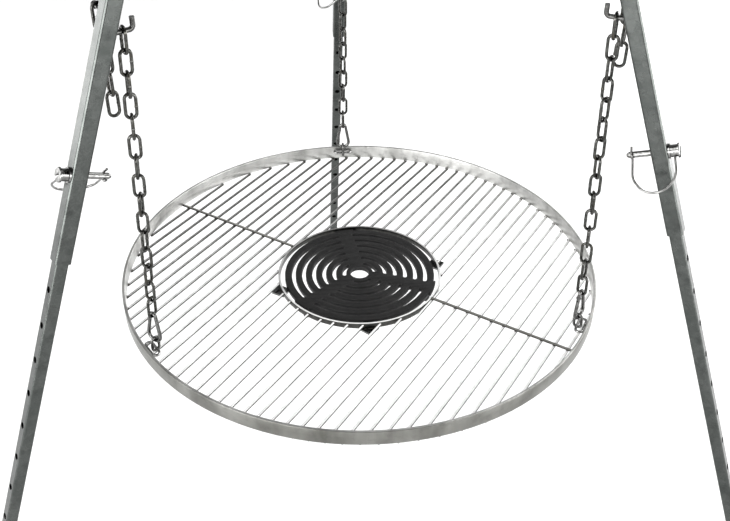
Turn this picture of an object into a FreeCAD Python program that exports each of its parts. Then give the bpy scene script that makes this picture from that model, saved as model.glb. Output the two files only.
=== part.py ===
import FreeCAD, Part
import os
from math import atan2, cos, degrees, radians, sin, sqrt, tan

# Campfire tripod grate: three telescopic legs under a steel head carry a round cooking grate on
# chains. Millimetres, +Z up, feet on z = 0, rear leg toward +Y.

V = FreeCAD.Vector
X, Y, Z, ORIGIN = V(1, 0, 0), V(0, 1, 0), V(0, 0, 1), V(0, 0, 0)
FIT = 0.02          # gap between parts that are welded or rest on each other

# tripod
LEGS = {"rear": 90.0, "left": 210.0, "right": 330.0}    # plan angle of each leg, degrees
LEG_TILT = 20.6                                         # lean of a leg from vertical, degrees
PIVOT_R, PIVOT_Z = 36.0, 1703.0
OUTER_TUBE, INNER_TUBE, WALL = 20.0, 16.0, 1.5
CORNER, INNER_CORNER = 3.2, 2.6
OUTER_TOP, OUTER_END, INNER_TOP = 14.0, 1124.0, 750.0   # along the leg, measured from the pivot
PIN_AT = 1012.8                                         # along the leg, pivot to lock pin
LEG_TRAVEL = 200.0
HOLE_PITCH = 50.0
FOOT_R, FOOT_H, FOOT_SLEEVE, FOOT_WALL = 18.0, 8.0, 46.0, 3.0

# head
PLATE_R, PLATE_T, PLATE_Z = 68.0, 4.0, 1722.0
EAR_T, EAR_GAP = 3.0, 0.6
BOLT_R, BOLT_AF, BOLT_HEAD, NUT_H = 4.0, 13.0, 5.3, 6.5
WASHER_R, WASHER_T = 8.0, 1.6
RUNNING = 0.06                                          # radial clearance of a turning bore

# lock pin with its wire bail
PIN_R, PIN_HOLE_R, PIN_TIP = 4.0, 4.2, 40.0
COLLAR_R, COLLAR_T, HUB_R, HUB_LEN, FLANGE_T, RIVET_R = 9.0, 2.2, 7.5, 11.0, 2.6, 1.5
PIN_FACE = OUTER_TUBE / 2 + 0.3                         # where the collar meets the tube
RIVET_AT = PIN_FACE + 6.4
BAIL_SLOT = 2.0                                         # half width of the slot for the bail's eye
BAIL_WIRE, BAIL_HANG, BAIL_DEPTH = 1.5, 45.0, 50.0      # wire radius; droop, degrees; depth of the bow
BAIL_BEND, BAIL_EYE_R, BAIL_EYE_T = 22.0, 3.4, 1.7
BAIL_SIDE = {"rear": 1, "left": -1, "right": -1}

# grate
RIM_Z, RIM_R, RIM_T, RIM_H = 460.0, 350.0, 4.0, 22.0
BAR_R, BAR_COUNT, BAR_PITCH, BAR_ANGLE = 2.0, 36, 19.1, 53.3
RING_R, RING_T, RING_H = 123.0, 3.0, 9.0
RING_TOP = RIM_Z - 9.5
ROD_FREE_END = 340.0                                    # one end of the cross rod stops short
TABS, TAB_SIDE, TAB_T = (10.5, 90.5, 192.0, 271.5), 20.0, 3.0

# cast-iron insert
INSERT_R, INSERT_T, LOBE_R, LOBE_ARC, HUB_HOLE_R = 113.0, 7.5, 116.0, 15.0, 14.0
SPOKES, SPOKE_W = (97.5, 217.5, 337.5), 19.0
SLOT_RINGS, SLOT_FIRST, SLOT_PITCH, SLOT_W = 6, 23.2, 15.3, 5.6
FOOT_PEG_AT, FOOT_PEG_TOP, FOOT_PEG_END, FOOT_PEG_LEN = 105.0, 7.0, 5.0, 20.0

# chains
WIRE, LINK_W, LINK_IN = 2.0, 16.5, 26.15                # wire radius, outer width, inner length
LINK_GAP = 0.15
LINKS = 15
TAIL_LINKS = {"rear": 3, "left": 5, "right": 3}
TAIL_SIDE = {"rear": 1, "left": -1, "right": 1}
PEG_UP = {"rear": 0.0, "left": 24.5, "right": 12.0}     # spare-chain peg above the hook
PEG_IN = {"rear": 10.0, "left": 15.7, "right": 3.2}     # and outward from the leg's inner face
SNAP_TWIST = {"rear": 0.0, "left": 22.0, "right": -18.0}
JOINER_IN, JOINER_W = 18.0, 14.5                        # the smaller link below the snap
EYE_W, EYE_Z = 14.0, RIM_Z + 6.0
SNAP_L, SNAP_WIRE, SNAP_WIDE, SNAP_NARROW = 50.0, 2.5, 10.0, 4.5
SNAP_HINGE_Z, GATE_END_Z, TONGUE_T = 38.0, 15.0, 1.8
HOOK_WIRE, HOOK_REACH, HOOK_TIP, HOOK_SEAT = 3.0, 22.0, 14.0, 10.0
PEG_R, PEG_OUT, KNOB_R = 2.5, 26.0, 4.5
TAIL_SIDE_AT = 20.0

TAN, COS = tan(radians(LEG_TILT)), cos(radians(LEG_TILT))
FOOT_AT = PIVOT_R + PIVOT_Z * TAN                       # where a leg's axis meets the floor
AXIS_Y = -FOOT_AT / 4                                   # puts the origin under the middle of the feet
RIM_IN = RIM_R - RIM_T
BAR_Z = RIM_Z - RIM_H / 2 - BAR_R - FIT
EYE_GAP = 0.25                                          # eye link clear of the rim's inside
EYE_AXIS_R = RIM_IN - EYE_W + WIRE - EYE_GAP            # the eye's inner run, which a chain hangs on


def turn(axis, angle, centre=ORIGIN):
    return FreeCAD.Placement(ORIGIN, FreeCAD.Rotation(axis, angle), centre)


def shift(x, y, z):
    return FreeCAD.Placement(V(x, y, z), FreeCAD.Rotation())


def placed(shape, *places):
    """A copy of the shape, with the first placement given as the outermost."""
    out = shape.copy()
    total = FreeCAD.Placement()
    for place in places:
        total = total.multiply(place)
    out.transformShape(total.toMatrix(), True)
    return out


def plane_of(leg):
    """Frame of a leg's upright plane: x outward from the tripod's axis, y sideways, z up."""
    return shift(0, AXIS_Y, 0).multiply(turn(Z, LEGS[leg]))


def leg_frame(leg):
    """Frame of a leg: origin at its pivot, z up along it, x out of its outer face."""
    return plane_of(leg).multiply(shift(PIVOT_R, 0, PIVOT_Z)).multiply(turn(Y, -LEG_TILT))


def fuse(parts):
    out = parts[0].fuse(parts[1:]) if len(parts) > 1 else parts[0]
    return out.removeSplitter()


def cylinder(radius, start, end):
    return Part.makeCylinder(radius, (end - start).Length, start, end - start)


def block(low, high):
    return Part.makeBox(high[0] - low[0], high[1] - low[1], high[2] - low[2], V(*low))


def square_bar(width, low, high, corner):
    bar = block((-width / 2, -width / 2, low), (width / 2, width / 2, high))
    upright = [e for e in bar.Edges if abs(e.tangentAt(e.FirstParameter).z) > 0.9]
    return bar.makeFillet(corner, upright) if corner else bar


def annulus(outer, inner, low, high):
    return Part.makeCylinder(outer, high - low, V(0, 0, low)).cut(
        Part.makeCylinder(inner, high - low + 2, V(0, 0, low - 1)))


def bent_rod(radius, points, bend):
    """A round rod along straight runs, with every corner rounded to the bend radius."""
    edges, at = [], points[0]
    for i in range(1, len(points) - 1):
        a, b, c = points[i - 1], points[i], points[i + 1]
        u, w = (a - b).normalize(), (c - b).normalize()
        half = u.getAngle(w) / 2
        r = bend[i - 1] if isinstance(bend, (list, tuple)) else bend
        back = r / tan(half)
        start, end = b + u * back, b + w * back
        centre = b + (u + w).normalize() * (r / sin(half))
        middle = centre + (b - centre).normalize() * r
        if (start - at).Length > 1e-4:
            edges.append(Part.makeLine(at, start))
        edges.append(Part.Arc(start, middle, end).toShape())
        at = end
    edges.append(Part.makeLine(at, points[-1]))
    path = Part.Wire(edges)
    first = edges[0]
    section = Part.Wire(Part.makeCircle(radius, points[0], first.tangentAt(first.FirstParameter)))
    return path.makePipeShell([section], True, True)


def link(inner, width=LINK_W, wire=WIRE):
    """An oval link standing in the x-z plane; z = 0 is the inside of its lower bend."""
    mid = width / 2 - wire
    run = inner - 2 * (mid - wire)
    low = mid - wire
    bend = Part.makeTorus(mid, wire, ORIGIN, Z, -180, 180, 180)
    parts = [
        placed(bend, shift(0, 0, low + run), turn(X, 90)),
        placed(bend, shift(0, 0, low), turn(X, -90)),
        cylinder(wire, V(mid, 0, low), V(mid, 0, low + run)),
        cylinder(wire, V(-mid, 0, low), V(-mid, 0, low + run)),
    ]
    return fuse(parts)


def hexagon(across, low, high, bore=0):
    r = across / sqrt(3)
    ring = [V(r * cos(radians(60 * i)), r * sin(radians(60 * i)), low) for i in range(7)]
    body = Part.Face(Part.makePolygon(ring)).extrude(V(0, 0, high - low))
    return body.cut(Part.makeCylinder(bore, high - low, V(0, 0, low))) if bore else body


def save(name, shape):
    shapes = shape if isinstance(shape, list) else [shape]
    solids = [solid for each in shapes for solid in each.Solids]
    for solid in solids:
        if not solid.isValid() or solid.Volume <= 0:
            raise ValueError(name + " has a solid that is not sound")
    out = solids[0] if len(solids) == 1 else Part.makeCompound(solids)
    out.exportStep("parts/" + name + ".step")


# ---- head ----------------------------------------------------------------------------------

def head_parts():
    plate = Part.makeCylinder(PLATE_R, PLATE_T, V(0, 0, PLATE_Z))
    rim = [e for e in plate.Edges if abs(e.BoundBox.XLength - 2 * PLATE_R) < 1]
    plate = plate.makeFillet(1.2, rim)
    plate = plate.cut(Part.makeCylinder(11, PLATE_T + 2, V(0, 0, PLATE_Z - 1)))
    inside = OUTER_TUBE / 2 + EAR_GAP
    outside = inside + EAR_T
    ears, stops, bolts, washers, nuts = [], [], [], [], []
    outline = [(19, PLATE_Z), (64, PLATE_Z), (66, 1700), (60, 1684), (46, 1680), (30, 1684), (19, 1698)]
    for leg in LEGS:
        place = plane_of(leg)
        pivot = shift(PIVOT_R, 0, PIVOT_Z)
        for side in (1, -1):
            y = inside if side > 0 else -outside
            face = Part.Face(Part.makePolygon([V(x, y, z) for x, z in outline + outline[:1]]))
            ear = face.extrude(V(0, EAR_T, 0))
            hole = cylinder(BOLT_R + FIT, V(PIVOT_R, y - 1, PIVOT_Z), V(PIVOT_R, y + EAR_T + 1, PIVOT_Z))
            ears.append(placed(ear.cut(hole), place, shift(0, 0, -FIT)))
        reach = inside - FIT
        stop = cylinder(3.0, V(OUTER_TUBE / 2 + 3.05, -reach, -16), V(OUTER_TUBE / 2 + 3.05, reach, -16))
        stops.append(placed(stop, leg_frame(leg)))
        lift = turn(X, -90)
        span = outside + WASHER_T + 2 * FIT
        shank = Part.makeCylinder(BOLT_R, 2 * span + NUT_H + 3, V(0, 0, -span))
        head = hexagon(BOLT_AF, -span - BOLT_HEAD, -span)
        bolts.append(placed(fuse([shank, head]), place, pivot, lift))
        for z in (outside + FIT, -outside - FIT - WASHER_T):
            washers.append(placed(annulus(WASHER_R, BOLT_R + FIT, z, z + WASHER_T), place, pivot, lift))
        nut = hexagon(BOLT_AF, span + FIT, span + NUT_H, BOLT_R + FIT)
        nuts.append(placed(nut, place, pivot, lift))
    save("head_plate", placed(plate, shift(0, AXIS_Y, 0)))
    save("head_ears", ears)
    save("head_stops", stops)
    save("hinge_bolts", bolts)
    save("hinge_washers", washers)
    save("hinge_nuts", nuts)


# ---- legs ----------------------------------------------------------------------------------

def through(radius, z):
    return cylinder(radius, V(-OUTER_TUBE, 0, z), V(OUTER_TUBE, 0, z))


def outer_tube():
    tube = square_bar(OUTER_TUBE, -OUTER_END, OUTER_TOP, CORNER)
    tube = tube.cut(square_bar(OUTER_TUBE - 2 * WALL, -OUTER_END - 1, OUTER_TOP + 1, CORNER - WALL))
    tube = tube.cut(through(PIN_HOLE_R, -PIN_AT))
    return tube.cut(cylinder(BOLT_R + RUNNING, V(0, -OUTER_TUBE, 0), V(0, OUTER_TUBE, 0)))


def inner_end():
    return (PIVOT_Z - FOOT_H - 4.0) / COS


def inner_tube():
    end = inner_end()
    tube = square_bar(INNER_TUBE, -end, -INNER_TOP, INNER_CORNER)
    tube = tube.cut(square_bar(INNER_TUBE - 2 * WALL, -end - 1, -INNER_TOP + 1, INNER_CORNER - WALL))
    slot = block((-OUTER_TUBE, -PIN_HOLE_R, -PIN_AT), (OUTER_TUBE, PIN_HOLE_R, -PIN_AT + LEG_TRAVEL + 1))
    cuts = [slot, through(PIN_HOLE_R, -PIN_AT), through(PIN_HOLE_R, -PIN_AT + LEG_TRAVEL + 1)]
    for i in range(1, int((end - PIN_AT - 70) / HOLE_PITCH) + 1):
        cuts.append(through(PIN_HOLE_R, -PIN_AT - i * HOLE_PITCH))
    return tube.cut(cuts)


def foot(leg):
    end = inner_end()
    pad = Part.makeCylinder(FOOT_R, FOOT_H, V(FOOT_AT, 0, 0))
    pad = pad.makeFillet(2.0, [e for e in pad.Edges if e.BoundBox.ZMin > FOOT_H - 1])
    sleeve = square_bar(INNER_TUBE + 2 * FOOT_WALL, -end - 12, -end + FOOT_SLEEVE, 3.0)
    socket = square_bar(INNER_TUBE, -end, -end + FOOT_SLEEVE + 1, INNER_CORNER)
    body = fuse([placed(pad, plane_of(leg)), placed(sleeve, leg_frame(leg))])
    low = Part.makeBox(4000, 4000, 200, V(-2000, -2000, -200))
    return body.cut(low).cut(placed(socket, leg_frame(leg)))


def bail_frame(leg):
    """Frame of a bail: x out along the pin, z in the direction the bail hangs."""
    side = BAIL_SIDE[leg]
    hang = side * (90 + BAIL_HANG)
    return leg_frame(leg).multiply(shift(0, 0, -PIN_AT)).multiply(turn(X, -hang))


def lock_pin(leg):
    """Pin with a flanged hub at its outer end, slotted for the bail's eye and the bail's swing."""
    hub_at, head_end = PIN_FACE + COLLAR_T, PIN_FACE + 2 + HUB_LEN
    flange_at = head_end - FLANGE_T
    shaft = cylinder(PIN_R, V(-PIN_TIP + 3, 0, 0), V(PIN_FACE, 0, 0))
    tip = Part.makeCone(2.2, PIN_R, 3, V(-PIN_TIP, 0, 0), X)
    collar = cylinder(COLLAR_R, V(PIN_FACE, 0, 0), V(hub_at, 0, 0))
    hub = cylinder(HUB_R, V(hub_at - 0.5, 0, 0), V(head_end - 0.5, 0, 0))
    flange = cylinder(COLLAR_R, V(flange_at, 0, 0), V(head_end, 0, 0))
    flange = flange.makeFillet(1.2, [e for e in flange.Edges if e.BoundBox.XMin > head_end - 0.1])
    slot = block((hub_at + 0.2, -BAIL_SLOT, -HUB_R - 1), (flange_at, BAIL_SLOT, HUB_R + 1))
    notch = block((flange_at - 1, -BAIL_SLOT, -4.3), (head_end + 1, BAIL_SLOT, COLLAR_R + 1))
    rivet = cylinder(RIVET_R, V(RIVET_AT, -HUB_R + 0.6, 0), V(RIVET_AT, HUB_R - 0.6, 0))
    body = fuse([shaft, tip, collar, hub, flange]).cut([slot, notch])
    return placed(fuse([body, rivet]), bail_frame(leg))


def pin_bail(leg):
    """Wire bow from the hub, round one side of the leg, to a clasp over the pin's tip."""
    clasp_x, clasp_r = -PIN_TIP + 7, PIN_R + BAIL_WIRE + 0.12
    run = [V(RIVET_AT, 0, 3.0), V(RIVET_AT + 2.3, 0, BAIL_DEPTH - 18),
           V(5, 0, BAIL_DEPTH), V(-19, 0, BAIL_DEPTH),
           V(clasp_x, 0, BAIL_DEPTH - 19), V(clasp_x, 0, clasp_r + 0.2)]
    wire = bent_rod(BAIL_WIRE, run, BAIL_BEND)
    at_rivet = [shift(RIVET_AT, 0, 0), turn(X, 90)]
    eye = placed(annulus(BAIL_EYE_R, RIVET_R + RUNNING, -BAIL_EYE_T, BAIL_EYE_T), *at_rivet)
    clasp = placed(Part.makeTorus(clasp_r, BAIL_WIRE, ORIGIN, Z, -180, 180, 180),
                   shift(clasp_x, 0, 0), turn(X, 90), turn(Y, 90))
    tail = cylinder(BAIL_WIRE, V(clasp_x, clasp_r, 0.0), V(clasp_x, clasp_r, -8.0))
    other = cylinder(BAIL_WIRE, V(clasp_x, -clasp_r, 0.0), V(clasp_x, -clasp_r, -2.0))
    bore = placed(Part.makeCylinder(RIVET_R + RUNNING, 8, V(0, 0, -4)), *at_rivet)
    return placed(fuse([wire.cut(bore), eye, clasp, tail, other]), bail_frame(leg))


def leg_parts():
    outer, inner = outer_tube(), inner_tube()
    for leg in LEGS:
        save("upper_leg_" + leg, placed(outer, leg_frame(leg)))
        save("lower_leg_" + leg, placed(inner, leg_frame(leg)))
        save("foot_" + leg, foot(leg))
        save("lock_pin_" + leg, lock_pin(leg))
        save("pin_bail_" + leg, pin_bail(leg))


# ---- grate ---------------------------------------------------------------------------------

def bars():
    """Parallel round bars under the rim, the middle ones interrupted by the centre ring."""
    out = []
    hole = Part.makeCylinder(RING_R + FIT, 100, V(0, 0, RIM_Z - 50))
    for i in range(BAR_COUNT):
        y = (i - (BAR_COUNT - 1) / 2) * BAR_PITCH
        half = sqrt((RIM_R - 0.6) ** 2 - y * y)
        bar = cylinder(BAR_R, V(-half, y, BAR_Z), V(half, y, BAR_Z))
        out += bar.cut(hole).Solids if abs(y) < RING_R + BAR_R else [bar]
    return [placed(b, shift(0, AXIS_Y, 0), turn(Z, BAR_ANGLE)) for b in out]


def cross_rods():
    z = BAR_Z + 2 * BAR_R + FIT
    keep_out = Part.makeCylinder(RING_R + FIT, 100, V(0, 0, RIM_Z - 50))
    keep_in = Part.makeCylinder(RIM_IN - FIT, 100, V(0, 0, RIM_Z - 50))
    long_rod = cylinder(BAR_R, V(0, 100, z), V(0, RIM_R, z)).cut(keep_out).common(keep_in)
    short_rod = cylinder(BAR_R, V(0, -100, z), V(0, -ROD_FREE_END, z)).cut(keep_out)
    return [placed(r, shift(0, AXIS_Y, 0), turn(Z, BAR_ANGLE)) for r in (long_rod, short_rod)]


def sector(radius, centre, arc, low, high):
    a, b = radians(centre - arc / 2), radians(centre + arc / 2)
    p, q = V(radius * cos(a), radius * sin(a), low), V(radius * cos(b), radius * sin(b), low)
    m = V(radius * cos((a + b) / 2), radius * sin((a + b) / 2), low)
    hub = V(0, 0, low)
    edge = Part.Wire([Part.makeLine(hub, p), Part.Arc(p, m, q).toShape(), Part.makeLine(q, hub)])
    return Part.Face(edge).extrude(V(0, 0, high - low))


def curved_slot(radius, start, end, low, high):
    """A slot round the middle with rounded ends, between two plan angles in degrees."""
    r_out, r_in, w = radius + SLOT_W / 2, radius - SLOT_W / 2, SLOT_W / 2
    arc = end - start
    tube = annulus(r_out, r_in, low, high)
    cut = tube.common(sector(radius + 40, start + arc / 2, arc, low, high))
    ends = []
    for a in (start, end):
        x, y = radius * cos(radians(a)), radius * sin(radians(a))
        ends.append(Part.makeCylinder(w, high - low, V(x, y, low)))
    return cut.fuse(ends)


def insert():
    low = RING_TOP - RING_H + FIT
    high = low + INSERT_T
    plate = Part.makeCylinder(INSERT_R, INSERT_T, V(0, 0, low))
    plate = fuse([plate] + [sector(LOBE_R, a, LOBE_ARC, low, high) for a in SPOKES])
    cuts = [Part.makeCylinder(HUB_HOLE_R, INSERT_T + 2, V(0, 0, low - 1))]
    for i in range(SLOT_RINGS):
        r = SLOT_FIRST + i * SLOT_PITCH
        half = degrees((SPOKE_W / 2 + SLOT_W / 2) / r)
        for a in SPOKES:
            cuts.append(curved_slot(r, a + half, a + 120 - half, low - 1, high + 1))
    plate = plate.cut(cuts)
    pegs = []
    for a in SPOKES:
        x, y = FOOT_PEG_AT * cos(radians(a)), FOOT_PEG_AT * sin(radians(a))
        foot_end = V(x, y, low - FOOT_PEG_LEN)
        pegs.append(Part.makeCone(FOOT_PEG_END, FOOT_PEG_TOP, FOOT_PEG_LEN + 0.5, foot_end))
    return placed(fuse([plate] + pegs), shift(0, AXIS_Y, 0))


def grate_parts():
    rim = annulus(RIM_R, RIM_IN, RIM_Z - RIM_H / 2, RIM_Z + RIM_H / 2)
    save("rim", placed(rim, shift(0, AXIS_Y, 0)))
    save("grate_bars", bars())
    save("cross_rods", cross_rods())
    ring = annulus(RING_R, RING_R - RING_T, RING_TOP - RING_H, RING_TOP)
    save("centre_ring", placed(ring, shift(0, AXIS_Y, 0)))
    h = TAB_SIDE / 2
    tab = block((-h, -h, 0), (h, h, TAB_T))
    top = RING_TOP - RING_H - TAB_T - FIT
    save("ring_tabs", [placed(tab, shift(0, AXIS_Y, 0), turn(Z, a), shift(RING_R - 1, 0, top), turn(Z, 45))
                       for a in TABS])
    eye = link(LINK_IN, EYE_W)
    flat = [turn(X, 90), shift(0, 0, -LINK_IN / 2)]
    mid = RIM_IN - EYE_W / 2 - EYE_GAP
    bead = block((RIM_IN - 3, -6, EYE_Z - 1.6), (RIM_IN + 5, 6, EYE_Z + 1.6))
    bead = bead.common(Part.makeCylinder(RIM_IN - FIT, 60, V(0, 0, RIM_Z - 30)))
    eyes = []
    for leg in LEGS:
        oval = placed(eye, shift(mid, 0, EYE_Z), *flat)
        eyes.append(placed(fuse([oval, bead]), plane_of(leg)))
    save("rim_eyes", eyes)
    save("iron_insert", insert())


# ---- chains --------------------------------------------------------------------------------

def inner_face(z):
    """Distance of a leg's inner face from the tripod's axis at a height."""
    return PIVOT_R + (PIVOT_Z - z) * TAN - OUTER_TUBE / 2 / COS


def stations():
    """Distances up the chain from the eye's wire: joiner, snap, first link (insides), hook wire."""
    joiner = -WIRE - LINK_GAP
    snap = joiner + JOINER_IN - LINK_GAP - 2 * SNAP_WIRE
    first = snap + SNAP_L - 2 * SNAP_WIRE - LINK_GAP
    pitch = LINK_IN - LINK_GAP
    hook = first + (LINKS - 1) * pitch + LINK_IN - LINK_GAP - HOOK_WIRE
    return joiner, snap, first, pitch, hook


def hook_point():
    """The hook wire's centre (outward, up), so that the chain just reaches it."""
    reach, z = stations()[-1], RIM_Z + 440
    for _ in range(30):
        r = inner_face(z) - HOOK_SEAT
        z = EYE_Z + sqrt(reach ** 2 - (EYE_AXIS_R - r) ** 2)
    return r, z


def chain_frame(leg):
    """Frame of a chain: z up along it from the eye's wire, y sideways."""
    r, z = hook_point()
    lean = degrees(atan2(r - EYE_AXIS_R, z - EYE_Z))
    return plane_of(leg).multiply(shift(EYE_AXIS_R, 0, EYE_Z)).multiply(turn(Y, lean))


def pear(side):
    """Tangent points of the snap's two end circles on one side, in its own plane."""
    low, top = SNAP_WIRE + SNAP_WIDE, SNAP_L - SNAP_WIRE - SNAP_NARROW
    a = (SNAP_WIDE - SNAP_NARROW) / (top - low)
    c = sqrt(1 - a * a)
    wide = V(side * SNAP_WIDE * c, 0, low + SNAP_WIDE * a)
    narrow = V(side * SNAP_NARROW * c, 0, top + SNAP_NARROW * a)
    return wide, narrow


def on_line(a, b, z):
    return a + (b - a) * ((z - a.z) / (b.z - a.z))


def snap_body():
    """Pear-shaped snap hook without its gate, in the x-z plane, narrow end up."""
    low, top = V(0, 0, SNAP_WIRE + SNAP_WIDE), V(0, 0, SNAP_L - SNAP_WIRE - SNAP_NARROW)
    wide, narrow = pear(1)
    gate_low, gate_top = pear(-1)
    nose = on_line(gate_low, gate_top, GATE_END_Z - 0.4)
    knuckle = on_line(gate_low, gate_top, SNAP_HINGE_Z + 3.6)
    edges = [
        Part.makeLine(nose, gate_low),
        Part.Arc(gate_low, V(0, 0, SNAP_WIRE), wide).toShape(),
        Part.makeLine(wide, narrow),
        Part.Arc(narrow, V(0, 0, SNAP_L - SNAP_WIRE), gate_top).toShape(),
        Part.makeLine(gate_top, knuckle),
    ]
    path = Part.Wire(edges)
    first = edges[0]
    section = Part.Wire(Part.makeCircle(SNAP_WIRE, nose, first.tangentAt(first.FirstParameter)))
    body = path.makePipeShell([section], True, True)
    hinge = on_line(gate_low, gate_top, SNAP_HINGE_Z)
    run = gate_top - gate_low
    angle = degrees(atan2(run.x, run.z))
    tongue = block((-2.1, -TONGUE_T / 2, -2.1), (2.1, TONGUE_T / 2, 5.0))
    tongue = tongue.fuse(cylinder(2.1, V(0, -TONGUE_T / 2, -2.1), V(0, TONGUE_T / 2, -2.1)))
    tongue = placed(tongue, shift(hinge.x, 0, hinge.z), turn(Y, angle))
    rivet_hole = cylinder(1.0 + FIT, hinge - Y * 4, hinge + Y * 4)
    return fuse([body, tongue]).cut(rivet_hole)


def snap_gate():
    gate_low, gate_top = pear(-1)
    hinge = on_line(gate_low, gate_top, SNAP_HINGE_Z)
    run = gate_top - gate_low
    angle = degrees(atan2(run.x, run.z))
    length = (SNAP_HINGE_Z - GATE_END_Z) / cos(radians(angle))
    rod = cylinder(SNAP_WIRE, V(0, 0, -length), V(0, 0, 3.0))
    slot = block((-4, -TONGUE_T / 2 - 0.15, -4.6), (4, TONGUE_T / 2 + 0.15, 4))
    rod = rod.cut(slot)
    rod = rod.cut(cylinder(1.0 + RUNNING, V(0, -4, 0), V(0, 4, 0)))
    return placed(rod, shift(hinge.x, 0, hinge.z), turn(Y, angle))


def snap_rivet():
    gate_low, gate_top = pear(-1)
    hinge = on_line(gate_low, gate_top, SNAP_HINGE_Z)
    end = SNAP_WIRE + 0.5
    shank = cylinder(1.0, hinge - Y * end, hinge + Y * end)
    near, far = SNAP_WIRE + 0.06, end + 0.3
    heads = [cylinder(1.7, hinge + Y * (s * near), hinge + Y * (s * far)) for s in (1, -1)]
    return fuse([shank] + heads)


def peg_point(leg):
    """Where the spare-chain peg leaves the side of its leg (outward, up)."""
    z = hook_point()[1] + PEG_UP[leg]
    return inner_face(z) + PEG_IN[leg], z


def chain_hook(leg):
    """Upturned hook on the leg's inner face, and a peg on the leg's side for the spare chain."""
    r, z = hook_point()
    root = inner_face(z)
    tip = root - HOOK_REACH
    arm = bent_rod(HOOK_WIRE, [V(root + 6, 0, z), V(tip, 0, z), V(tip, 0, z + HOOK_TIP)], 5.0)
    s = TAIL_SIDE[leg]
    peg_r, peg_z = peg_point(leg)
    peg = cylinder(PEG_R, V(peg_r, 0, peg_z), V(peg_r, s * PEG_OUT, peg_z))
    knob = cylinder(KNOB_R, V(peg_r, s * PEG_OUT, peg_z), V(peg_r, s * (PEG_OUT + 2), peg_z))
    keep_out = placed(square_bar(OUTER_TUBE + 2 * FIT, -OUTER_END, 0, CORNER), leg_frame(leg))
    return [placed(body, plane_of(leg)).cut(keep_out) for body in (arm, fuse([peg, knob]))]


def chain_parts():
    joiner_at, snap_at, first, pitch, _ = stations()
    oval, joiner = link(LINK_IN), link(JOINER_IN, JOINER_W)
    for leg in LEGS:
        frame = chain_frame(leg)
        twist = SNAP_TWIST[leg]
        save("joiner_" + leg, placed(joiner, frame, shift(0, 0, joiner_at), turn(Z, twist / 2)))
        around = [frame, shift(0, 0, snap_at), turn(Z, 90 + twist)]
        save("snap_" + leg, placed(snap_body(), *around))
        save("snap_gate_" + leg, placed(snap_gate(), *around))
        save("snap_rivet_" + leg, placed(snap_rivet(), *around))
        step = (90.0 - twist) / (LINKS - 1)
        links = []
        for i in range(LINKS):
            angle = twist + i * (90.0 + step)
            links.append(placed(oval, frame, shift(0, 0, first + i * pitch), turn(Z, angle)))
        save("chain_" + leg, links)
        save("chain_hook_" + leg, chain_hook(leg))
        side, tail = TAIL_SIDE[leg] * TAIL_SIDE_AT, []
        peg_r, peg_z = peg_point(leg)
        top = peg_z + PEG_R + LINK_GAP - LINK_IN
        for i in range(TAIL_LINKS[leg]):
            tail.append(placed(oval, plane_of(leg), shift(peg_r, side, top - i * pitch), turn(Z, 90.0 * i)))
        save("chain_tail_" + leg, tail)


def report_joints():
    """Prints the joint positions that the record states."""
    r, z = hook_point()
    print("hook", round(r, 3), round(z, 3), "eye", EYE_AXIS_R, EYE_Z, "axis_y", round(AXIS_Y, 4))
    gate_low, gate_top = pear(-1)
    hinge = on_line(gate_low, gate_top, SNAP_HINGE_Z)
    for leg in LEGS:
        rows = {
            "pivot": plane_of(leg).multVec(V(PIVOT_R, 0, PIVOT_Z)),
            "side": plane_of(leg).Rotation.multVec(Y),
            "down": leg_frame(leg).Rotation.multVec(V(0, 0, -1)),
            "out": leg_frame(leg).Rotation.multVec(X),
            "rivet": bail_frame(leg).multVec(V(RIVET_AT, 0, 0)),
            "bail_axis": bail_frame(leg).Rotation.multVec(Y),
            "eye": plane_of(leg).multVec(V(EYE_AXIS_R, 0, EYE_Z)),
            "peg": plane_of(leg).multVec(V(peg_point(leg)[0], 0, peg_point(leg)[1])),
            "foot": plane_of(leg).multVec(V(FOOT_AT, 0, 0)),
        }
        around = chain_frame(leg).multiply(shift(0, 0, stations()[1])).multiply(turn(Z, 90 + SNAP_TWIST[leg]))
        rows["gate"] = around.multVec(hinge)
        rows["gate_axis"] = around.Rotation.multVec(Y)
        for name, v in rows.items():
            print(leg, name, [round(c, 5) for c in v])


os.makedirs("parts", exist_ok=True)
head_parts()
leg_parts()
grate_parts()
chain_parts()
report_joints()
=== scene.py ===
import math
import random

import bmesh
import bpy
import numpy as np
from mathutils import Matrix, Vector, geometry


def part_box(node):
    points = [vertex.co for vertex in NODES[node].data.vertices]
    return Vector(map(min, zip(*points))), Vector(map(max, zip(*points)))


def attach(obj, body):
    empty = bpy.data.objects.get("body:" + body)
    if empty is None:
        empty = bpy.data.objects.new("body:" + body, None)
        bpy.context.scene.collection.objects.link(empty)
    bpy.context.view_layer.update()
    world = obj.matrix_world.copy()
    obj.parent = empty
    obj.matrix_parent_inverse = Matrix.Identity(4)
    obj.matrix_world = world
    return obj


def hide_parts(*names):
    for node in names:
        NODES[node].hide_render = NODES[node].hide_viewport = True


# Looks for the campfire tripod grate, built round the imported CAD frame. Metres, +Z up.

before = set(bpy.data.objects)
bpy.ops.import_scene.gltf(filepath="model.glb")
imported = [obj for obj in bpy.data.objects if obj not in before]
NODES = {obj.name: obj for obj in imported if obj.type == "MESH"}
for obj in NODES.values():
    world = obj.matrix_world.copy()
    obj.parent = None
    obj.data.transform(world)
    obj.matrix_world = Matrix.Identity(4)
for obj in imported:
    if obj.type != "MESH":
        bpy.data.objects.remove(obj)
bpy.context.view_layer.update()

MM = 0.001
SIDES = ("left", "right", "rear")
rng = random.Random(20)

rim_low, rim_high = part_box("rim")
AXIS = (rim_low + rim_high) / 2                 # middle of the grate
RIM_R = (rim_high.x - rim_low.x) / 2
RIM_T = 4 * MM
WIRE = 2 * MM                                   # radius of chain wire and of grate bars


# ---- meshes ---------------------------------------------------------------------------------

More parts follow.
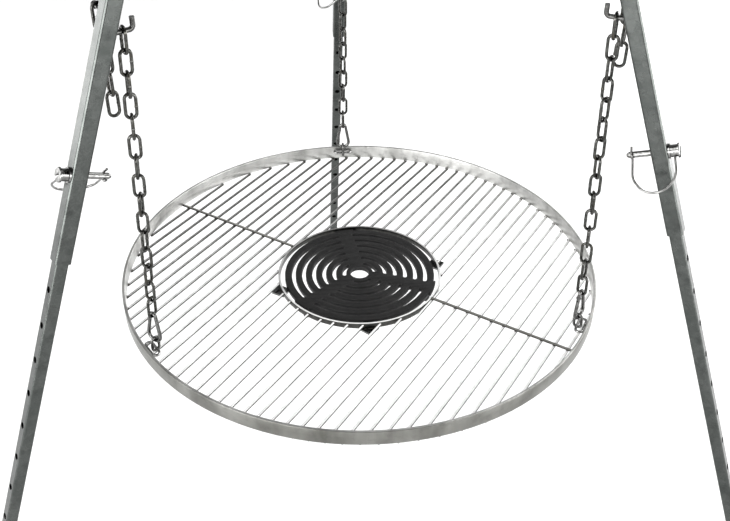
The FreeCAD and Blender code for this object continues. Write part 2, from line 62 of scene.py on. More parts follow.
def piece(name, build, body, material, replaces=(), smooth=True):
    """A mesh object made from a bmesh, riding on a CAD body."""
    mesh = bpy.data.meshes.new(name)
    bmesh.ops.recalc_face_normals(build, faces=build.faces)
    build.to_mesh(mesh)
    build.free()
    for polygon in mesh.polygons:
        polygon.use_smooth = smooth
    if smooth:
        mesh.set_sharp_from_angle(angle=math.radians(38))
    obj = bpy.data.objects.new(name, mesh)
    bpy.context.scene.collection.objects.link(obj)
    mesh.materials.append(material)
    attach(obj, body)
    if replaces:
        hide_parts(*replaces)
    return obj


def islands(node):
    """The separate solids of a CAD node, each as an array of its points."""
    source = bmesh.new()
    source.from_mesh(NODES[node].data)
    bmesh.ops.remove_doubles(source, verts=source.verts, dist=1e-6)
    source.verts.index_update()
    seen, out = set(), []
    for start in source.verts:
        if start.index in seen:
            continue
        seen.add(start.index)
        stack, found = [start], []
        while stack:
            vert = stack.pop()
            found.append(tuple(vert.co))
            for edge in vert.link_edges:
                other = edge.other_vert(vert)
                if other.index not in seen:
                    seen.add(other.index)
                    stack.append(other)
        out.append(np.array(found))
    source.free()
    return out


def bridge(build, rings, closed_path=False, capped=True):
    """Quads between successive rings of points; the ends are capped unless the path is closed."""
    rows = [[build.verts.new(p) for p in ring] for ring in rings]
    count = len(rows[0])
    pairs = list(zip(rows, rows[1:]))
    if closed_path:
        pairs.append((rows[-1], rows[0]))
    for low, high in pairs:
        for i in range(count):
            j = (i + 1) % count
            build.faces.new((low[i], low[j], high[j], high[i]))
    if capped and not closed_path:
        build.faces.new(rows[0][::-1])
        build.faces.new(rows[-1])
    return rows


def lathe(build, profile, centre, steps):
    """A closed ring of the (radius, height) outline turned round an upright axis."""
    rings = []
    for i in range(steps):
        a = math.tau * i / steps
        rings.append([Vector((r * math.cos(a), r * math.sin(a), z)) + centre for r, z in profile])
    bridge(build, rings, closed_path=True)


def spindle(build, profile, place, steps=28):
    """A solid of revolution about the place's z axis, from (radius, height) pairs."""
    turns = [math.tau * i / steps for i in range(steps)]
    bridge(build, [[place @ Vector((r * math.cos(a), r * math.sin(a), z)) for a in turns]
                   for r, z in profile])


def rounded_box_outline(r_in, r_out, z_low, z_high, edge, steps=3):
    """The outline of a rectangular section with rounded corners, as (radius, height) pairs."""
    out = []
    corners = [(r_out - edge, z_high - edge, 0), (r_in + edge, z_high - edge, 90),
               (r_in + edge, z_low + edge, 180), (r_out - edge, z_low + edge, 270)]
    for r, z, start in corners:
        for k in range(steps + 1):
            a = math.radians(start + 90 * k / steps)
            out.append((r + edge * math.cos(a), z + edge * math.sin(a)))
    return out


def rod(build, start, end, radius, sides=16, edge=0.4 * MM):
    """A round bar with its end corners taken off."""
    axis = (end - start).normalized()
    side = axis.orthogonal().normalized()
    up = axis.cross(side)
    length = (end - start).length
    turns = [math.tau * i / sides for i in range(sides)]
    around = [side * math.cos(a) + up * math.sin(a) for a in turns]
    rings = []
    for along, r in ((0, radius - edge), (edge, radius), (length - edge, radius), (length, radius - edge)):
        centre = start + axis * along
        rings.append([centre + offset * r for offset in around])
    bridge(build, rings)


def bead(build, centre, size, turn=None, rough=0.1):
    """A small irregular lump of weld."""
    out = bmesh.ops.create_icosphere(build, subdivisions=2, radius=1.0)
    for vert in out["verts"]:
        p = vert.co * (1 + rng.uniform(-rough, rough))
        p = Vector((p.x * size[0], p.y * size[1], p.z * size[2]))
        vert.co = centre + (turn @ p if turn else p)


def oval_link(build, place, inner, width, wire, sides=14):
    """A chain link in the place's x-z plane about its origin, with its weld's upset on one side."""
    mid = width / 2 - wire
    run = inner / 2 - (mid - wire)
    path = []
    for k in range(12):
        a = math.pi * k / 12
        path.append((mid * math.cos(a), run + mid * math.sin(a), math.cos(a), math.sin(a), 0))
    for k in range(10):
        path.append((-mid, run - 2 * run * k / 10, -1, 0, 0))
    for k in range(12):
        a = math.pi * (1 + k / 12)
        path.append((mid * math.cos(a), -run + mid * math.sin(a), math.cos(a), math.sin(a), 0))
    weld = rng.uniform(-0.15, 0.15) * run
    stops = [-1, -0.7, -0.4, -0.26, -0.18, -0.11, -0.05, 0.02, 0.09, 0.16, 0.24, 0.4, 0.7]
    for s in stops:
        z = s * run
        swell = math.exp(-(((z - weld) / (0.11 * run)) ** 2)) * 0.16
        path.append((mid, z, 1, 0, swell))
    rings = []
    for x, z, nx, nz, swell in path:
        r = wire * (1 + swell)
        rings.append([place @ Vector((x + nx * r * math.cos(math.tau * i / sides),
                                      r * math.sin(math.tau * i / sides),
                                      z + nz * r * math.cos(math.tau * i / sides))) for i in range(sides)])
    bridge(build, rings, closed_path=True)


# ---- materials ------------------------------------------------------------------------------

class Finish:
    """A node material built in a few words."""

    def __init__(self, name, tree=None):
        if tree is None:
            self.material = bpy.data.materials.new(name)
            self.material.use_nodes = True
            tree = self.material.node_tree
        self.tree = tree
        self.tree.nodes.clear()
        self.at = self.add("ShaderNodeTexCoord").outputs["Object"]

    def add(self, kind, inputs=None, **settings):
        node = self.tree.nodes.new(kind)
        for key, value in settings.items():
            setattr(node, key, value)
        for key, value in (inputs or {}).items():
            if isinstance(value, bpy.types.NodeSocket):
                self.tree.links.new(value, node.inputs[key])
            else:
                node.inputs[key].default_value = value
        return node

    def math(self, kind, a, b=0.0):
        return self.add("ShaderNodeMath", {0: a, 1: b}, operation=kind).outputs[0]

    def split(self, vector):
        return self.add("ShaderNodeSeparateXYZ", {0: vector}).outputs

    def join(self, x, y, z):
        return self.add("ShaderNodeCombineXYZ", {0: x, 1: y, 2: z}).outputs[0]

    def stretch(self, x, y, z):
        return self.add("ShaderNodeVectorMath", {0: self.at, 1: (x, y, z)}, operation="MULTIPLY").outputs[0]

    def noise(self, size, detail=3.0, rough=0.55, at=None, distort=0.0):
        """Noise whose features are about this size in metres."""
        return self.add("ShaderNodeTexNoise", {"Vector": at or self.at, "Scale": 1 / size, "Detail": detail,
                                               "Roughness": rough, "Distortion": distort}).outputs["Fac"]

    def cells(self, size, at=None, output="Color"):
        return self.add("ShaderNodeTexVoronoi", {"Vector": at or self.at, "Scale": 1 / size}).outputs[output]

    def ramp(self, value, *stops):
        node = self.add("ShaderNodeValToRGB", {0: value})
        elements = node.color_ramp.elements
        while len(elements) < len(stops):
            elements.new(0.5)
        for element, (at, colour) in zip(elements, stops):
            element.position = at
            element.color = (*colour, 1) if isinstance(colour, tuple) else (colour, colour, colour, 1)
        return node.outputs[0]

    def range(self, value, low, high, to_low, to_high):
        return self.add("ShaderNodeMapRange", {0: value, 1: low, 2: high, 3: to_low, 4: to_high}).outputs[0]

    def mix(self, factor, a, b, kind="MIX"):
        node = self.add("ShaderNodeMix", data_type="RGBA", blend_type=kind, clamp_factor=True)
        for socket, value in ((node.inputs[0], factor), (node.inputs[6], a), (node.inputs[7], b)):
            if isinstance(value, bpy.types.NodeSocket):
                self.tree.links.new(value, socket)
            elif isinstance(value, tuple):
                socket.default_value = (*value, 1)
            elif socket.name == "Factor":
                socket.default_value = value
            else:
                socket.default_value = (value, value, value, 1)
        return node.outputs[2]

    def bump(self, *layers):
        """Stacked bumps, each (height, depth in metres)."""
        normal = None
        for height, depth in layers:
            inputs = {"Height": height, "Strength": 1.0, "Distance": depth}
            if normal:
                inputs["Normal"] = normal
            normal = self.add("ShaderNodeBump", inputs).outputs[0]
        return normal

    def finish(self, colour, roughness, metallic=1.0, normal=None, **more):
        inputs = {"Base Color": colour, "Roughness": roughness, "Metallic": metallic}
        inputs.update({key.replace("_", " "): value for key, value in more.items()})
        if normal:
            inputs["Normal"] = normal
        shader = self.add("ShaderNodeBsdfPrincipled", inputs)
        self.add("ShaderNodeOutputMaterial", {0: shader.outputs[0]})
        return self.material


def galvanised(name, dark, light, spangle=9 * MM, rough=(0.14, 0.3)):
    """Zinc coat with crystal spangle, cloudy dulling and fine scratches."""
    f = Finish(name)
    wobble = f.noise(6 * MM, 2)
    push = f.join(wobble, wobble, wobble)
    bent = f.add("ShaderNodeVectorMath", {0: push, 1: (4 * MM, 4 * MM, 4 * MM), 2: f.at},
                 operation="MULTIPLY_ADD").outputs[0]
    crystal = f.split(f.cells(spangle, bent))
    small = f.split(f.cells(spangle * 0.35, bent))
    tone = f.math("ADD", f.math("MULTIPLY", crystal[0], 0.6), f.math("MULTIPLY", small[1], 0.4))
    cloud = f.noise(70 * MM, 4, 0.6)
    tone = f.math("ADD", f.math("MULTIPLY", tone, 0.22), f.math("MULTIPLY", cloud, 0.8))
    colour = f.ramp(tone, (0.22, dark), (0.8, light))
    grime = f.ramp(f.noise(25 * MM, 6, 0.7), (0.48, 1.0), (0.72, 0.62))
    colour = f.mix(1.0, colour, grime, "MULTIPLY")
    scratch = f.noise(1.2 * MM, 2, 0.5, f.stretch(1, 1, 0.04))
    dulling = f.math("ADD", f.math("MULTIPLY", crystal[1], 0.3), f.math("MULTIPLY", cloud, 0.7))
    roughness = f.range(dulling, 0, 1, *rough)
    roughness = f.math("ADD", roughness, f.math("MULTIPLY", f.noise(2 * MM, 3), 0.08))
    normal = f.bump((crystal[2], 0.008 * MM), (f.noise(0.7 * MM, 3), 0.008 * MM), (scratch, 0.008 * MM))
    return f.finish(colour, roughness, 1.0, normal)


def plated(name, dark, light, rough=0.3, size=4 * MM, tint=None):
    """Bright or dulled zinc plating with patches, specks and handling wear."""
    f = Finish(name)
    patch = f.noise(size, 5, 0.62)
    colour = f.ramp(patch, (0.32, dark), (0.68, light))
    if tint:
        colour = f.mix(f.ramp(f.noise(14 * MM, 3), (0.55, 0.0), (0.75, 1.0)), colour, tint)
    speck = f.ramp(f.noise(0.8 * MM, 2), (0.3, 0.55), (0.42, 1.0))
    colour = f.mix(1.0, colour, speck, "MULTIPLY")
    roughness = f.range(f.noise(1.8 * MM, 4), 0.3, 0.7, rough - 0.1, rough + 0.1)
    normal = f.bump((f.noise(1.1 * MM, 4), 0.05 * MM), (f.noise(5 * MM, 2), 0.12 * MM))
    return f.finish(colour, roughness, 1.0, normal)


def brushed_band():
    """Stainless band: brushed across its height, cloudy zones round it, the outer face darker as painted
    shade and the inner face lighter as painted light.
    """
    f = Finish("rim_brushed_steel_painted_light")
    x, y, z = f.split(f.at)
    y = f.math("SUBTRACT", y, AXIS.y)
    round_it = f.math("MULTIPLY", f.math("ARCTAN2", y, x), RIM_R)
    line_at = f.join(round_it, 0.0, f.math("MULTIPLY", z, 0.02))
    fine = f.noise(0.9 * MM, 2, 0.6, line_at)
    medium = f.noise(7 * MM, 3, 0.6, line_at)
    zone = f.noise(60 * MM, 3, 0.6, f.join(round_it, 0.0, f.math("MULTIPLY", z, 0.5)))
    tone = f.math("ADD", f.math("MULTIPLY", fine, 0.04), f.math("MULTIPLY", medium, 0.08))
    tone = f.math("ADD", tone, f.math("MULTIPLY", zone, 0.88))
    # Painted shade on the outer face and painted light on the inner face: the same steel in a dark and a
    # light colour.
    shaded_outer_face = f.ramp(tone, (0.36, (0.1, 0.1, 0.09)), (0.64, (0.22, 0.22, 0.205)))
    lit_inner_face = f.ramp(tone, (0.36, (0.36, 0.36, 0.345)), (0.64, (0.66, 0.66, 0.64)))
    radius = f.math("SQRT", f.math("ADD", f.math("MULTIPLY", x, x), f.math("MULTIPLY", y, y)))
    # Each face takes its painted light or painted shade colour according to its distance from the middle.
    colour = f.mix(f.range(radius, RIM_R - 1.2 * MM, RIM_R - 0.3 * MM, 0, 1), lit_inner_face, shaded_outer_face)
    stain = f.ramp(f.noise(16 * MM, 5, 0.7), (0.5, 1.0), (0.75, 0.7))
    colour = f.mix(1.0, colour, stain, "MULTIPLY")
    roughness = f.range(zone, 0.3, 0.7, 0.32, 0.42)
    normal = f.bump((fine, 0.004 * MM), (f.noise(18 * MM, 2), 0.03 * MM))
    return f.finish(colour, roughness, 1.0, normal)


# side is the colour of the painted shade down the sides, top the colour of the painted highlight along the
# top, and wear how strong that painted highlight is at the back left and at the front.
def bar_steel_painted_light(name, side=(0.028, 0.028, 0.026), top=(0.86, 0.86, 0.85), wear=(0.12, 1.0)):
    """Round steel bars in painted light: dark down the sides as painted shade, bright satin along the top as
    a painted highlight.

    The painted highlight is strongest over the front of the grate and fades toward the back left."""
    f = Finish(name)
    x, y = f.split(f.at)[:2]
    up = f.split(f.add("ShaderNodeNewGeometry").outputs["Normal"])[2]
    patch = f.noise(30 * MM, 4, 0.6)
    # How far each face of the bar points upward, shifted a little by noise: the upward faces get the painted
    # highlight.
    edge = f.math("ADD", up, f.math("MULTIPLY", f.math("SUBTRACT", patch, 0.5), 0.3))
    # Front of the grate against the back left: the painted highlight fades toward the back left.
    forward = f.math("SUBTRACT", f.math("MULTIPLY", x, 0.35), f.math("SUBTRACT", y, AXIS.y))
    forward = f.math("ADD", forward, f.math("MULTIPLY", f.math("SUBTRACT", patch, 0.5), 0.2))
    highlight_by_place = f.range(forward, -0.2, 0.06, *wear)
    # Painted highlight: the upward faces, strongest over the front of the grate.
    painted_highlight = f.math("MULTIPLY", f.range(edge, 0.5, 0.8, 0, 1), highlight_by_place)
    # Painted shade colour down the sides and painted highlight colour along the top.
    shaded_sides = f.ramp(f.noise(5 * MM, 4), (0.35, side), (0.7, tuple(c * 1.9 for c in side)))
    highlit_top = f.ramp(f.noise(9 * MM, 4), (0.3, tuple(c * 0.85 for c in top)), (0.65, top))
    colour = f.mix(painted_highlight, shaded_sides, highlit_top)
    roughness = f.range(painted_highlight, 0, 1, 0.26, 0.36)
    roughness = f.math("ADD", roughness, f.math("MULTIPLY", f.noise(1.5 * MM, 3), 0.08))
    normal = f.bump((f.noise(0.6 * MM, 3), 0.01 * MM), (f.noise(4 * MM, 2), 0.03 * MM))
    return f.finish(colour, roughness, f.range(painted_highlight, 0, 1, 1.0, 0.2), normal)


def cast_iron():
    """Sand-cast iron, oiled black: grainy skin with faint brown and grey bloom."""
    f = Finish("cast_iron_black")
    grain = f.noise(0.9 * MM, 5, 0.65)
    lumps = f.noise(4 * MM, 3, 0.5)
    colour = f.ramp(f.noise(12 * MM, 4, 0.6), (0.35, (0.004, 0.004, 0.004)), (0.7, (0.009, 0.0088, 0.0085)))
    pits = f.cells(1.6 * MM, output="Distance")
    colour = f.mix(f.ramp(grain, (0.6, 0.0), (0.78, 0.35)), colour, (0.032, 0.03, 0.027))
    roughness = f.range(f.noise(7 * MM, 4), 0.3, 0.7, 0.42, 0.6)
    normal = f.bump((lumps, 0.35 * MM), (grain, 0.18 * MM), (pits, 0.06 * MM))
    return f.finish(colour, roughness, 0.0, normal, Specular_IOR_Level=0.28)


def weld_metal():
    """Weld beads: dark grey with brown and straw heat colours."""
    f = Finish("weld_bead")
    colour = f.ramp(f.noise(3 * MM, 3), (0.3, (0.02, 0.019, 0.017)), (0.5, (0.05, 0.045, 0.038)),
                    (0.72, (0.12, 0.11, 0.1)))
    normal = f.bump((f.noise(0.5 * MM, 3), 0.1 * MM), (f.cells(1.1 * MM, output="Distance"), 0.15 * MM))
    return f.finish(colour, f.range(f.noise(1 * MM, 3), 0.3, 0.7, 0.28, 0.55), 1.0, normal)


def rubber():
    """Matt moulded rubber with dusty bloom."""
    f = Finish("foot_rubber")
    dust = f.ramp(f.noise(9 * MM, 5, 0.65), (0.45, (0.018, 0.018, 0.019)), (0.75, (0.075, 0.07, 0.062)))
    normal = f.bump((f.noise(0.5 * MM, 4), 0.08 * MM), (f.noise(3 * MM, 2), 0.1 * MM))
    return f.finish(dust, f.range(f.noise(4 * MM, 3), 0.3, 0.7, 0.62, 0.85), 0.0, normal)


TUBE = galvanised("tube_galvanised", (0.045, 0.05, 0.047), (0.095, 0.1, 0.096))
HEAD = galvanised("head_galvanised", (0.09, 0.093, 0.092), (0.21, 0.215, 0.21), 6 * MM)
BOLT = plated("bolt_zinc", (0.14, 0.137, 0.12), (0.3, 0.295, 0.265), 0.28)
PIN = plated("pin_zinc", (0.08, 0.08, 0.077), (0.28, 0.28, 0.274), 0.18, 6 * MM)
HOOK = plated("hook_zinc", (0.035, 0.035, 0.033), (0.11, 0.11, 0.106), 0.28)
EYE = plated("eye_steel", (0.16, 0.16, 0.156), (0.4, 0.4, 0.394), 0.22)
CHAIN = plated("chain_zinc", (0.01, 0.01, 0.009), (0.1, 0.1, 0.094), 0.15, 3 * MM, (0.05, 0.046, 0.037))
SNAP = plated("snap_zinc", (0.05, 0.05, 0.048), (0.18, 0.18, 0.175), 0.2)
RIM = brushed_band()
BARS = bar_steel_painted_light("bar_steel_painted_light")
# The cross rods' painted highlight is stronger at the back left than at the front.
ROD = bar_steel_painted_light("cross_rod_steel_painted_light", (0.018, 0.018, 0.016), (0.6, 0.59, 0.55), (0.4, 0.2))
RING = bar_steel_painted_light("ring_steel_painted_light", (0.035, 0.035, 0.033), (0.8, 0.8, 0.79))
IRON = cast_iron()
WELD = weld_metal()
RUBBER = rubber()


# ---- grate ----------------------------------------------------------------------------------

def ends_of(points):
    """The two end middles of a straight round bar."""
    middle = points.mean(axis=0)
    axis = np.linalg.svd(points - middle, full_matrices=False)[2][0]
    along = (points - middle) @ axis
    low = points[along < along.min() + 1e-4].mean(axis=0)
    high = points[along > along.max() - 1e-4].mean(axis=0)
    return Vector(low), Vector(high)


def out_from_axis(p):
    """Level vector from the grate's middle to a point."""
    return Vector((p.x - AXIS.x, p.y - AXIS.y, 0))


def build_grate():
    band = bmesh.new()
    outline = rounded_box_outline(RIM_R - RIM_T, RIM_R, rim_low.z, rim_high.z, 0.7 * MM)
    lathe(band, outline, Vector((AXIS.x, AXIS.y, 0)), 288)
    piece("rim_band", band, "grate", RIM, ["rim"])

    ring_low, ring_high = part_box("centre_ring")
    ring_r = (ring_high.x - ring_low.x) / 2
    ring = bmesh.new()
    outline = rounded_box_outline(ring_r - 3 * MM, ring_r, ring_low.z, ring_high.z, 0.7 * MM)
    lathe(ring, outline, Vector((AXIS.x, AXIS.y, 0)), 160)
    piece("ring_band", ring, "grate", RING, ["centre_ring"])

    bars, beads = bmesh.new(), bmesh.new()
    ends = [ends_of(p) for p in islands("grate_bars")]
    for low, high in ends:
        step = (high - low).normalized() * 0.25 * MM
        start, stop = low.copy(), high.copy()
        while out_from_axis(start).length > RIM_R - 3.2 * MM:
            start += step
        while out_from_axis(stop).length > RIM_R - 3.2 * MM:
            stop -= step
        rod(bars, start, stop, WIRE)
        along = (high - low).normalized()
        across = Vector((-along.y, along.x, 0))
        turn = Matrix((along, across, Vector((0, 0, 1)))).transposed()
        for end, inward in ((start, along), (stop, -along)):
            if out_from_axis(end).length > RIM_R * 0.9:
                for side in (1, -1):
                    spot = end + inward * 1.6 * MM + across * side * rng.uniform(1.7, 2.1) * MM
                    spot.z = rim_low.z - rng.uniform(0.1, 0.5) * MM
                    bead(beads, spot, (1.9 * MM, 1.1 * MM, 0.8 * MM), turn)
            else:
                for side in (1, -1):
                    spot = end + inward * 0.3 * MM + across * side * 1.7 * MM
                    bead(beads, spot, (1.3 * MM, 1.3 * MM, 1.7 * MM), turn)
    piece("bar_rods", bars, "grate", BARS, ["grate_bars"])

    rods = bmesh.new()
    for points in islands("cross_rods"):
        low, high = ends_of(points)
        rod(rods, low, high, WIRE)
        along = (high - low).normalized()
        for bar_low, bar_high in ends:
            run = (bar_high - bar_low).normalized()
            offset = (bar_low - low).dot(along)
            if not 0 < offset < (high - low).length:
                continue
            crossing = low + along * offset
            reach = (crossing - bar_low).dot(run)
            if not 0 < reach < (bar_high - bar_low).length:
                continue
            turn = Matrix((run, along, Vector((0, 0, 1)))).transposed()
            spot = Vector((crossing.x, crossing.y, crossing.z - WIRE * rng.uniform(0.9, 1.1)))
            bead(beads, spot, (2.3 * MM, 1.9 * MM, 1.2 * MM), turn)
    piece("cross_rod_pair", rods, "grate", ROD, ["cross_rods"])
    piece("grate_weld_beads", beads, "grate", WELD)


# ---- cast-iron insert -----------------------------------------------------------------------

INSERT_R, LOBE_R, INSERT_T, HUB_R, PEG_AT = 113 * MM, 116 * MM, 7.5 * MM, 14 * MM, 105 * MM
SPOKES, LOBE_HALF, SPOKE_W = (97.5, 217.5, 337.5), 7.5, 19 * MM
SLOT_FIRST, SLOT_PITCH, SLOT_W, SLOT_RINGS = 23.2 * MM, 15.3 * MM, 5.6 * MM, 6


def insert_outline(inset):
    """The insert's rim with its three lobes, drawn in by the inset."""
    out = []
    half = math.radians(LOBE_HALF) - inset / LOBE_R
    for spoke in SPOKES:
        a = math.radians(spoke)
        for i in range(9):
            t = a - half + 2 * half * i / 8
            out.append(((LOBE_R - inset) * math.cos(t), (LOBE_R - inset) * math.sin(t)))
        b = math.radians(spoke + 120)
        for i in range(61):
            t = a + half + (b - a - 2 * half) * i / 60
            out.append(((INSERT_R - inset) * math.cos(t), (INSERT_R - inset) * math.sin(t)))
    return out


def slot_outline(radius, start, end, inset):
    """A curved slot with round ends, opened out by the inset."""
    w = SLOT_W / 2 + inset
    count = max(8, int(radius * (end - start) / (3.5 * MM)))
    out = []
    for i in range(count + 1):
        t = start + (end - start) * i / count
        out.append(((radius + w) * math.cos(t), (radius + w) * math.sin(t)))
    for k in range(1, 8):
        t = end + math.pi * k / 8
        out.append((radius * math.cos(end) + w * math.cos(t), radius * math.sin(end) + w * math.sin(t)))
    for i in range(count + 1):
        t = end - (end - start) * i / count
        out.append(((radius - w) * math.cos(t), (radius - w) * math.sin(t)))
    for k in range(1, 8):
        t = start + math.pi + math.pi * k / 8
        out.append((radius * math.cos(start) + w * math.cos(t), radius * math.sin(start) + w * math.sin(t)))
    return out


def circle_outline(radius, inset, count=40):
    r = radius + inset
    return [(r * math.cos(math.tau * i / count), r * math.sin(math.tau * i / count)) for i in range(count)]


def build_insert():
    low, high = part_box("iron_insert")
    top, base = high.z, high.z - INSERT_T
    edge = 1.0 * MM
    loops = [insert_outline, lambda inset: circle_outline(HUB_R, inset)]
    for i in range(SLOT_RINGS):
        radius = SLOT_FIRST + i * SLOT_PITCH
        half = (SPOKE_W / 2 + SLOT_W / 2) / radius
        for spoke in SPOKES:
            a, b = math.radians(spoke) + half, math.radians(spoke + 120) - half
            loops.append(lambda inset, r=radius, a=a, b=b: slot_outline(r, a, b, inset))
    levels = []
    for k in range(4):
        t = math.pi / 2 * k / 3
        levels.append((edge * (1 - math.sin(t)), base + edge * (1 - math.cos(t))))
    for k in range(4):
        t = math.pi / 2 * k / 3
        levels.append((edge * (1 - math.cos(t)), top - edge * (1 - math.sin(t))))
    build = bmesh.new()
    floor_loops, top_loops = [], []
    for loop in loops:
        rings = [[Vector((x + AXIS.x, y + AXIS.y, z)) for x, y in loop(inset)] for inset, z in levels]
        rows = bridge(build, rings, capped=False)
        floor_loops.append(rows[0])
        top_loops.append(rows[-1])
    for rows in (floor_loops, top_loops):
        flat = [vert for row in rows for vert in row]
        for face in geometry.tessellate_polygon([[vert.co for vert in row] for row in rows]):
            build.faces.new([flat[i] for i in face])
    for spoke in SPOKES:
        a = math.radians(spoke)
        place = Matrix.Translation((AXIS.x + PEG_AT * math.cos(a), AXIS.y + PEG_AT * math.sin(a), 0))
        drop = base - low.z
        profile = [(3.4 * MM, low.z), (4.6 * MM, low.z + 0.5 * MM), (5.0 * MM, low.z + 1.4 * MM),
                   (6.3 * MM, low.z + 0.7 * drop), (6.7 * MM, base - 2.2 * MM), (7.6 * MM, base - 0.9 * MM),
                   (9.2 * MM, base + 0.2 * MM)]
        spindle(build, profile, place, 24)
    piece("insert_casting", build, "insert", IRON, ["iron_insert"])


# ---- chains ---------------------------------------------------------------------------------

def link_places(node):
    """For each link of a CAD node: its place (z along it, x across it), inner length and width."""
    out = []
    for points in islands(node):
        middle = points.mean(axis=0)
        axes = np.linalg.svd(points - middle, full_matrices=False)[2]
        spans = [((points - middle) @ a).min() + ((points - middle) @ a).max() for a in axes]
        lengths = [np.ptp((points - middle) @ a) for a in axes]
        centre = Vector(middle + sum(a * s / 2 for a, s in zip(axes, spans)))
        z, x = Vector(axes[0]).normalized(), Vector(axes[1]).normalized()
        if z.z < 0:
            z = -z
        x = (x - z * x.dot(z)).normalized()
        y = z.cross(x)
        place = Matrix.Translation(centre) @ Matrix((x, y, z)).transposed().to_4x4()
        out.append((place, lengths[0] - 4 * WIRE, lengths[1]))
    return out


def build_chains():
    for side in SIDES:
        for name, node, body in (("links_", "chain_", "chain_"), ("joiner_link_", "joiner_", "chain_"),
                                 ("spare_links_", "chain_tail_", "chain_tail_")):
            build = bmesh.new()
            for place, inner, width in link_places(node + side):
                if rng.random() < 0.5:
                    place = place @ Matrix.Rotation(math.pi, 4, "Z")
                oval_link(build, place, inner, width, WIRE)
            material = SNAP if node == "joiner_" else CHAIN
            piece(name + side, build, body + side, material, [node + side])


# ---- weld beads between welded parts --------------------------------------------------------

def bead_run(build, start, end, size, pitch=2.2 * MM):
    """Overlapping beads in a straight run."""
    count = max(1, round((end - start).length / pitch))
    for i in range(count + 1):
        spot = start.lerp(end, i / count)
        jitter = Vector((rng.uniform(-1, 1), rng.uniform(-1, 1), rng.uniform(-1, 1))) * size * 0.12
        bead(build, spot + jitter, (size, size, size * rng.uniform(0.8, 1.0)))


def build_welds():
    grate_beads = bmesh.new()
    for points in islands("rim_eyes"):
        reach = np.hypot(points[:, 0] - AXIS.x, points[:, 1] - AXIS.y)
        touch = points[reach > reach.max() - 0.8 * MM]
        middle = Vector(touch.mean(axis=0))
        inward = -out_from_axis(middle).normalized()
        across = Vector((-inward.y, inward.x, 0))
        for z in (touch[:, 2].min(), touch[:, 2].max()):
            spot = Vector((middle.x, middle.y, z)) + inward * 0.8 * MM
            bead_run(grate_beads, spot - across * 1.8 * MM, spot + across * 1.8 * MM, 1.3 * MM)
    ring_low, ring_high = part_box("centre_ring")
    ring_r = (ring_high.x - ring_low.x) / 2
    for points in islands("ring_tabs"):
        top = points[points[:, 2] > points[:, 2].max() - 0.2 * MM]
        middle = Vector(top.mean(axis=0))
        outward = out_from_axis(middle).normalized()
        across = Vector((-outward.y, outward.x, 0))
        spot = Vector((AXIS.x, AXIS.y, middle.z)) + outward * (ring_r + 0.4 * MM)
        bead_run(grate_beads, spot - across * 6 * MM, spot + across * 6 * MM, 1.1 * MM)
    piece("grate_fillet_welds", grate_beads, "grate", WELD)

    head_beads = bmesh.new()
    for points in islands("head_ears"):
        top = points[points[:, 2] > points[:, 2].max() - 0.2 * MM]
        middle = top.mean(axis=0)
        axes = np.linalg.svd(top[:, :2] - middle[:2], full_matrices=False)[2]
        along, across = Vector((*axes[0], 0)), Vector((*axes[1], 0))
        half = np.ptp((top[:, :2] - middle[:2]) @ axes[0]) / 2 - 2 * MM
        thick = np.ptp((top[:, :2] - middle[:2]) @ axes[1]) / 2
        sideways = Vector((middle[0], middle[1], 0)) - along * along.dot(Vector(middle))
        outer = 1 if across.dot(sideways) > 0 else -1
        base = Vector(middle) + across * outer * thick + Vector((0, 0, -0.4 * MM))
        bead_run(head_beads, base - along * half, base + along * half, 1.6 * MM, 2.6 * MM)
    piece("head_fillet_welds", head_beads, "head", WELD)


# ---- finishes of the CAD nodes that stay ----------------------------------------------------

def paint_nodes():
    finishes = {
        "head_plate": HEAD, "head_ears": HEAD, "head_stops": HEAD,
        "hinge_bolts": BOLT, "hinge_washers": BOLT, "hinge_nuts": BOLT,
        "ring_tabs": HEAD, "rim_eyes": EYE,
    }
    for side in SIDES:
        finishes.update({
            "upper_leg_" + side: TUBE, "lower_leg_" + side: TUBE, "foot_" + side: RUBBER,
            "lock_pin_" + side: PIN, "pin_bail_" + side: PIN, "chain_hook_" + side: HOOK,
            "snap_" + side: SNAP, "snap_gate_" + side: SNAP, "snap_rivet_" + side: SNAP,
        })
    for name, material in finishes.items():
        data = NODES[name].data
        if not data.materials:
            data.materials.append(material)
        for i in range(len(data.materials)):
            data.materials[i] = material


# ---- studio ---------------------------------------------------------------------------------

CAMERA_AT = (-0.1075, -1.3073, 1.3121)
CAMERA_HEADING, CAMERA_DOWN, CAMERA_ROLL = -5.8, 36.334, 0.678      # degrees
CAMERA_SENSOR, CAMERA_LENS = 36.0, 46.52                            # millimetres


def build_camera():
    """The photograph's camera, recovered from the outlines of the rim, bars, legs and chains."""
    data = bpy.data.cameras.new("camera")
    data.sensor_width, data.lens = CAMERA_SENSOR, CAMERA_LENS
    camera = bpy.data.objects.new("camera", data)
    bpy.context.scene.collection.objects.link(camera)
    heading, down, roll = (math.radians(a) for a in (CAMERA_HEADING, CAMERA_DOWN, CAMERA_ROLL))
    camera.matrix_world = (Matrix.Translation(CAMERA_AT) @ Matrix.Rotation(heading, 4, "Z")
                           @ Matrix.Rotation(math.pi / 2 - down, 4, "X") @ Matrix.Rotation(roll, 4, "Z"))
    bpy.context.scene.camera = camera


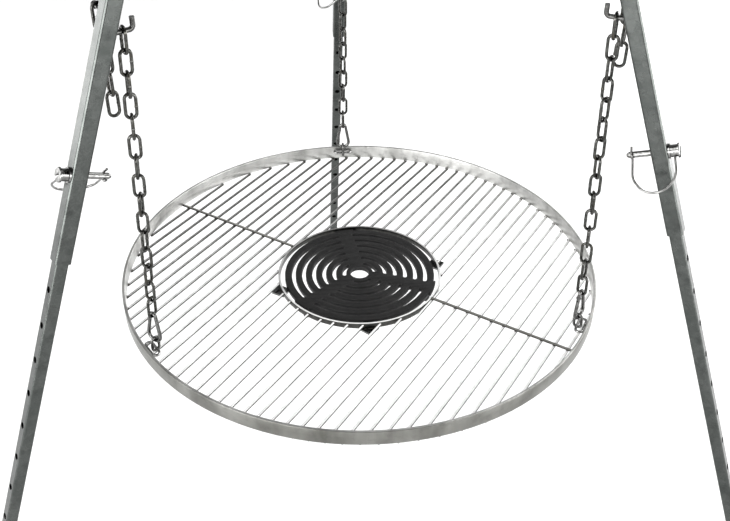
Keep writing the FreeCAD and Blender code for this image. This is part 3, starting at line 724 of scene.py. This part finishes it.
# Soft boxes round the object: place, size and power.
SOFTBOXES = {
    "left": ((-2.5, -2.3, 0.9), (4.0, 1.3), 165),
    "right": ((2.6, -2.1, 0.9), (4.0, 1.3), 130),
    "back_left": ((-3.2, 1.9, 0.6), (2.8, 1.2), 42),
    "back_right": ((2.5, 1.7, 0.5), (2.6, 1.0), 65),
    "upper_left": ((-2.6, -1.7, 3.6), (2.2, 2.2), 80),
    "upper_right": ((2.6, 1.2, 4.0), (2.4, 2.0), 85),
}


def area_light(name, place, size, power):
    data = bpy.data.lights.new(name, "AREA")
    data.shape, data.size, data.size_y = "RECTANGLE", size[0], size[1]
    data.energy = power
    lamp = bpy.data.objects.new(name, data)
    bpy.context.scene.collection.objects.link(lamp)
    aim = (AXIS - Vector(place)).to_track_quat("-Z", "Y")
    lamp.matrix_world = Matrix.Translation(place) @ aim.to_matrix().to_4x4()
    lamp.visible_camera = False


FLOOR_R, FLOOR_T = 4.4, 0.03


def build_studio():
    floor_mesh = bmesh.new()
    spindle(floor_mesh, [(FLOOR_R, -FLOOR_T), (FLOOR_R, 0.0)], Matrix.Identity(4), 96)
    mesh = bpy.data.meshes.new("floor")
    bmesh.ops.recalc_face_normals(floor_mesh, faces=floor_mesh.faces)
    floor_mesh.to_mesh(mesh)
    floor_mesh.free()
    floor = bpy.data.objects.new("floor", mesh)
    bpy.context.scene.collection.objects.link(floor)
    f = Finish("floor_pale")
    colour = f.ramp(f.noise(0.4, 3), (0.3, 0.86), (0.7, 0.88))
    mesh.materials.append(f.finish(colour, 0.9, 0.0))

    world = bpy.data.worlds.new("studio")
    world.use_nodes = True
    sky = Finish("studio", world.node_tree)
    toward = sky.add("ShaderNodeTexCoord").outputs["Generated"]
    height = sky.split(toward)[2]
    glow = sky.ramp(height, (0.0, (1.0, 1.0, 1.0)), (0.12, (0.94, 0.94, 0.94)), (0.5, (0.4, 0.4, 0.405)))
    back = sky.add("ShaderNodeBackground", {0: glow, 1: 1.0})
    sky.add("ShaderNodeOutputWorld", {0: back.outputs[0]})
    bpy.context.scene.world = world

    for name, (place, box, power) in SOFTBOXES.items():
        area_light(name, place, box, power)

    view = bpy.context.scene.view_settings
    view.view_transform, view.look = "Standard", "None"
    view.exposure, view.gamma = 0.0, 1.0


build_camera()
build_studio()
build_grate()
build_insert()
build_chains()
build_welds()
paint_nodes()
